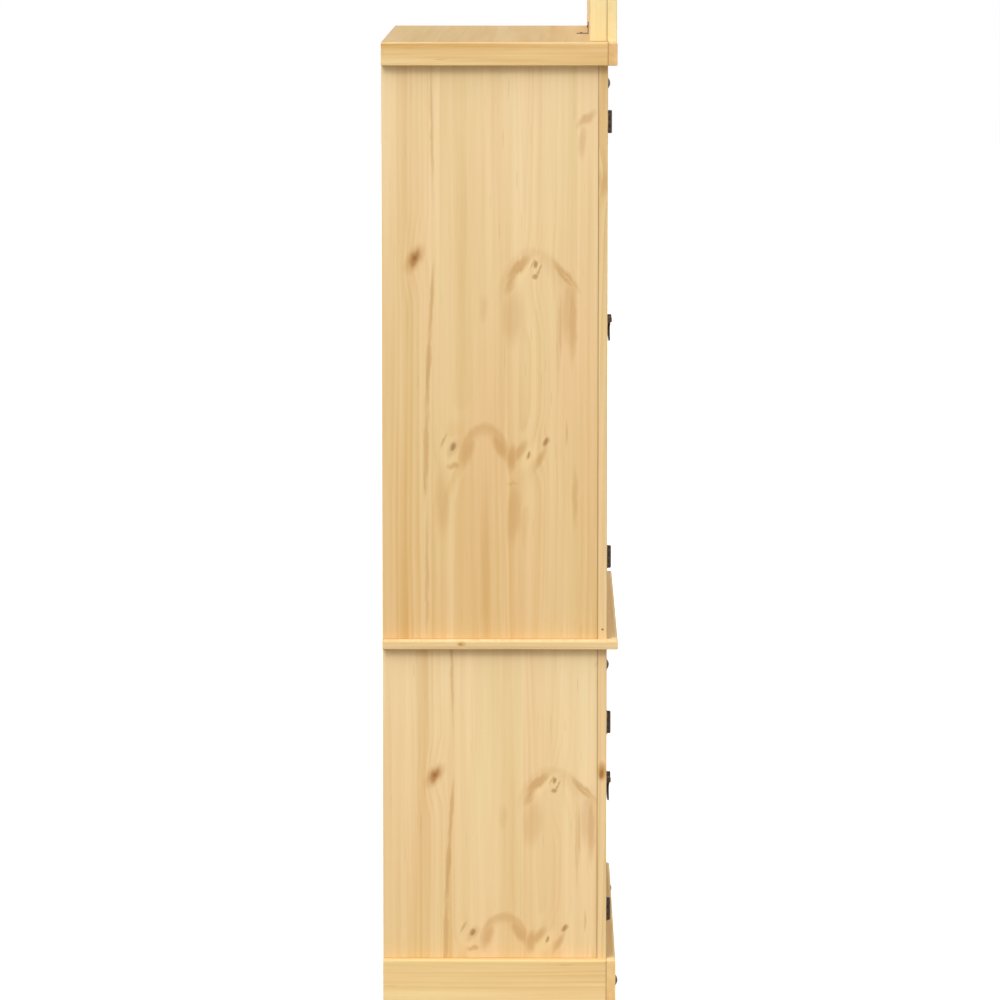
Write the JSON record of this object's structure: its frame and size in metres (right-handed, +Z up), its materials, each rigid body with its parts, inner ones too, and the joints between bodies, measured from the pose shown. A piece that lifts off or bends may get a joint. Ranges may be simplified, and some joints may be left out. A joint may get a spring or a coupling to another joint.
{
  "type": "trastero cabinet",
  "caption": "Tall pine cupboard with panelled doors above and below a counter board, and a cornice, plinth, shaped crest, iron hinges and drop pulls.",
  "frame": {"origin": "on the floor, under the middle of the carcass", "axes": "+Z up; -Y is the front, where the doors are; +X is the right-hand side as a viewer faces the front"},
  "size_m": [1, 0.4355, 1.924],
  "materials": {
    "pine": "clear satin lacquer on knotty pine",
    "pine_back": "clear satin lacquer on tongued pine boards",
    "beech": "plain turned beech",
    "black_iron": "matt black-brown lacquer",
    "catch_plastic": "moulded brown"
  },
  "bodies": {
    "cabinet": {"lower_side_left": "pine", "lower_side_right": "pine", "upper_side_left": "pine", "upper_side_right": "pine", "lower_floor": "pine", "upper_floor": "pine", "lower_shelf": "pine", "upper_shelves": "pine", "shelf_pegs": "beech", "lower_back": "pine_back", "upper_back": "pine_back", "lower_stiles": "pine", "upper_stiles": "pine", "lower_rails": "pine", "upper_rails": "pine", "counter_top": "pine", "top_board": "pine", "dowels": "beech", "plinth_front": "pine", "plinth_sides": "pine", "cornice_front": "pine", "cornice_sides": "pine", "crown_front": "pine", "crown_ends": "pine", "crown_back": "pine", "crown_bracket": "black_iron", "bracket_screws": "black_iron", "studs": "black_iron", "frame_hinge_leaves": "black_iron", "frame_hinge_screws": "black_iron", "hinge_pins": "black_iron", "catches": "catch_plastic"},
    "upper_left_door": {"upper_left_door_stiles": "pine", "upper_left_door_rails": "pine", "upper_left_door_panels": "pine", "upper_left_door_leaves": "black_iron", "upper_left_door_fixings": "black_iron", "upper_left_pull_mount": "black_iron"},
    "upper_left_pull": {"upper_left_pull_drop": "black_iron"},
    "upper_right_door": {"upper_right_door_stiles": "pine", "upper_right_door_rails": "pine", "upper_right_door_panels": "pine", "upper_right_door_leaves": "black_iron", "upper_right_door_fixings": "black_iron", "upper_right_pull_mount": "black_iron"},
    "upper_right_pull": {"upper_right_pull_drop": "black_iron"},
    "lower_left_door": {"lower_left_door_stiles": "pine", "lower_left_door_rails": "pine", "lower_left_door_panels": "pine", "lower_left_door_leaves": "black_iron", "lower_left_door_fixings": "black_iron", "lower_left_pull_mount": "black_iron"},
    "lower_left_pull": {"lower_left_pull_drop": "black_iron"},
    "lower_right_door": {"lower_right_door_stiles": "pine", "lower_right_door_rails": "pine", "lower_right_door_panels": "pine", "lower_right_door_leaves": "black_iron", "lower_right_door_fixings": "black_iron", "lower_right_pull_mount": "black_iron"},
    "lower_right_pull": {"lower_right_pull_drop": "black_iron"}
  },
  "joints": [
    {"name": "upper_left_door_hinge", "type": "hinge", "parent": "cabinet", "child": "upper_left_door", "pos_m": [-0.4315, -0.2021, 1.2305], "axis": [0, 0, -1], "range_deg": [0, 170]},
    {"name": "upper_left_pull_swing", "type": "hinge", "parent": "upper_left_door", "child": "upper_left_pull", "pos_m": [-0.0325, -0.2064, 1.2345], "axis": [-1, 0, 0], "range_deg": [-4, 80]},
    {"name": "upper_right_door_hinge", "type": "hinge", "parent": "cabinet", "child": "upper_right_door", "pos_m": [0.4315, -0.2021, 1.2305], "axis": [0, 0, 1], "range_deg": [0, 170]},
    {"name": "upper_right_pull_swing", "type": "hinge", "parent": "upper_right_door", "child": "upper_right_pull", "pos_m": [0.0325, -0.2064, 1.2345], "axis": [-1, 0, 0], "range_deg": [-4, 80]},
    {"name": "lower_left_door_hinge", "type": "hinge", "parent": "cabinet", "child": "lower_left_door", "pos_m": [-0.4315, -0.2021, 0.345], "axis": [0, 0, -1], "range_deg": [0, 170]},
    {"name": "lower_left_pull_swing", "type": "hinge", "parent": "lower_left_door", "child": "lower_left_pull", "pos_m": [-0.0325, -0.2064, 0.345], "axis": [-1, 0, 0], "range_deg": [-4, 80]},
    {"name": "lower_right_door_hinge", "type": "hinge", "parent": "cabinet", "child": "lower_right_door", "pos_m": [0.4315, -0.2021, 0.345], "axis": [0, 0, 1], "range_deg": [0, 170]},
    {"name": "lower_right_pull_swing", "type": "hinge", "parent": "lower_right_door", "child": "lower_right_pull", "pos_m": [0.0325, -0.2064, 0.345], "axis": [-1, 0, 0], "range_deg": [-4, 80]}
  ]
}
